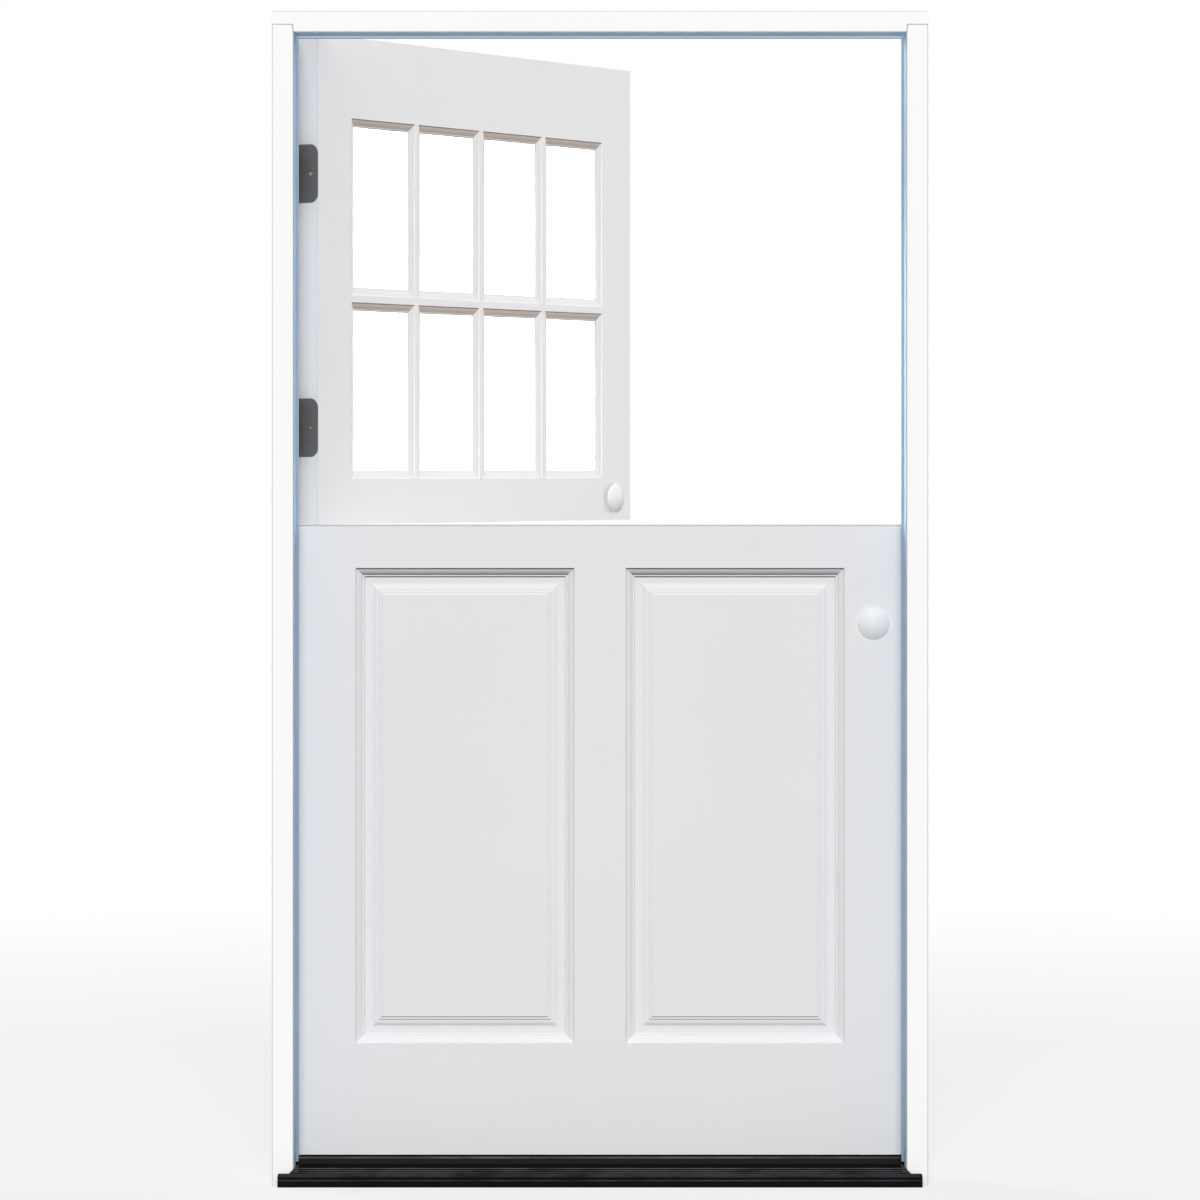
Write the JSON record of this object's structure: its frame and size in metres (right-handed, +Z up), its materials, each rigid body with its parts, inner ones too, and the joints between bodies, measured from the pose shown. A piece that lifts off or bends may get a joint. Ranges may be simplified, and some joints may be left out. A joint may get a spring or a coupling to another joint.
{
  "type": "dutch stable door",
  "caption": "Dutch stable door in its frame: a glazed upper leaf with bars and a panelled lower leaf swing inwards apart on butt hinges, each with a turn knob and bolt, over a dark sill.",
  "frame": {"origin": "centre of the sill's underside, on the plane of the closed leaves' outer face", "axes": "+X to the right seen from outside, towards the lock side; +Y from outside to inside, the way the leaves open; +Z up"},
  "size_m": [1.1246, 1.0927, 2.0112],
  "materials": {
    "leaf_paint": "smooth satin off-white paint",
    "frame_paint": "smooth satin white paint",
    "seal_blue": "soft matt blue-grey foam skin",
    "sill_metal": "dark bronze anodised",
    "sill_composite": "black composite",
    "black_rubber": "matt black",
    "pale_rubber": "soft matt off-white",
    "hinge_metal": "grey satin",
    "brass": "dull brass",
    "glass": "clear float glass",
    "knob_paint": "satin white",
    "lock_steel": "brushed"
  },
  "bodies": {
    "frame": {"hinge_jamb": "frame_paint", "strike_jamb": "frame_paint", "head_jamb": "frame_paint", "casing_hinge_leg": "frame_paint", "casing_strike_leg": "frame_paint", "casing_head": "frame_paint", "seal_hinge_side": "seal_blue", "seal_strike_side": "seal_blue", "seal_head": "seal_blue", "sill_core": "sill_composite", "sill_deck": "sill_metal", "threshold_cap": "sill_metal", "sill_corner_pads": "black_rubber", "hinge_jamb_plate_lower_bottom": "hinge_metal", "hinge_jamb_plate_lower_top": "hinge_metal", "hinge_jamb_plate_upper_bottom": "hinge_metal", "hinge_jamb_plate_upper_top": "hinge_metal", "hinge_pins": "hinge_metal", "hinge_jamb_screws": "hinge_metal", "lower_strike_plate": "lock_steel", "upper_strike_plate": "lock_steel", "strike_screws": "lock_steel"},
    "upper_leaf": {"upper_hinge_stile": "leaf_paint", "upper_lock_stile": "leaf_paint", "upper_top_rail": "leaf_paint", "upper_bottom_rail": "leaf_paint", "glazing_bars_upright": "leaf_paint", "glazing_bars_cross": "leaf_paint", "glass_pane": "glass", "glazing_beads": "leaf_paint", "hinge_leaf_plate_upper_bottom": "hinge_metal", "hinge_leaf_plate_upper_top": "hinge_metal", "hinge_upper_centre_screws": "brass", "hinge_upper_screws": "hinge_metal", "upper_roses": "knob_paint", "upper_bolt_case": "lock_steel"},
    "upper_knob": {"upper_outer_knob": "knob_paint", "upper_inner_knob": "knob_paint", "upper_spindle": "lock_steel"},
    "upper_bolt": {"upper_bolt": "lock_steel"},
    "lower_leaf": {"lower_hinge_stile": "leaf_paint", "lower_lock_stile": "leaf_paint", "lower_top_rail": "leaf_paint", "lower_bottom_rail": "leaf_paint", "lower_mullion": "leaf_paint", "left_panel": "leaf_paint", "right_panel": "leaf_paint", "bottom_sweep": "black_rubber", "meeting_seal": "pale_rubber", "hinge_leaf_plate_lower_bottom": "hinge_metal", "hinge_leaf_plate_lower_top": "hinge_metal", "hinge_lower_leaf_screws": "hinge_metal", "lower_roses": "knob_paint", "lower_bolt_case": "lock_steel"},
    "lower_knob": {"lower_outer_knob": "knob_paint", "lower_inner_knob": "knob_paint", "lower_spindle": "lock_steel"},
    "lower_bolt": {"lower_bolt": "lock_steel"}
  },
  "joints": [
    {"name": "upper_leaf_swing", "type": "hinge", "parent": "frame", "child": "upper_leaf", "pos_m": [-0.5349, 0.05405, 0], "axis": [0, 0, 1], "range_deg": [-59.3, 50.7]},
    {"name": "upper_knob_turn", "type": "hinge", "parent": "upper_leaf", "child": "upper_knob", "pos_m": [0.00709, 0.90453, 1.1727], "axis": [-0.8599, 0.5105, 0], "range_deg": [0, 90]},
    {"name": "upper_bolt_slide", "type": "slide", "parent": "upper_leaf", "child": "upper_bolt", "axis": [0.5105, 0.8599, 0], "range_m": [0, 0.0099]},
    {"name": "lower_leaf_swing", "type": "hinge", "parent": "frame", "child": "lower_leaf", "pos_m": [-0.5349, 0.05405, 0], "axis": [0, 0, 1], "range_deg": [0, 110]},
    {"name": "lower_knob_turn", "type": "hinge", "parent": "lower_leaf", "child": "lower_knob", "pos_m": [0.4731, 0.02223, 0.9596], "axis": [0, 1, 0], "range_deg": [0, 90]},
    {"name": "lower_bolt_slide", "type": "slide", "parent": "lower_leaf", "child": "lower_bolt", "axis": [1, 0, 0], "range_m": [0, 0.0099]}
  ],
  "couplings": [
    {"joint": "upper_bolt_slide", "follows": "upper_knob_turn", "m_per_rad": 0.0063022},
    {"joint": "lower_bolt_slide", "follows": "lower_knob_turn", "m_per_rad": 0.0063022}
  ]
}
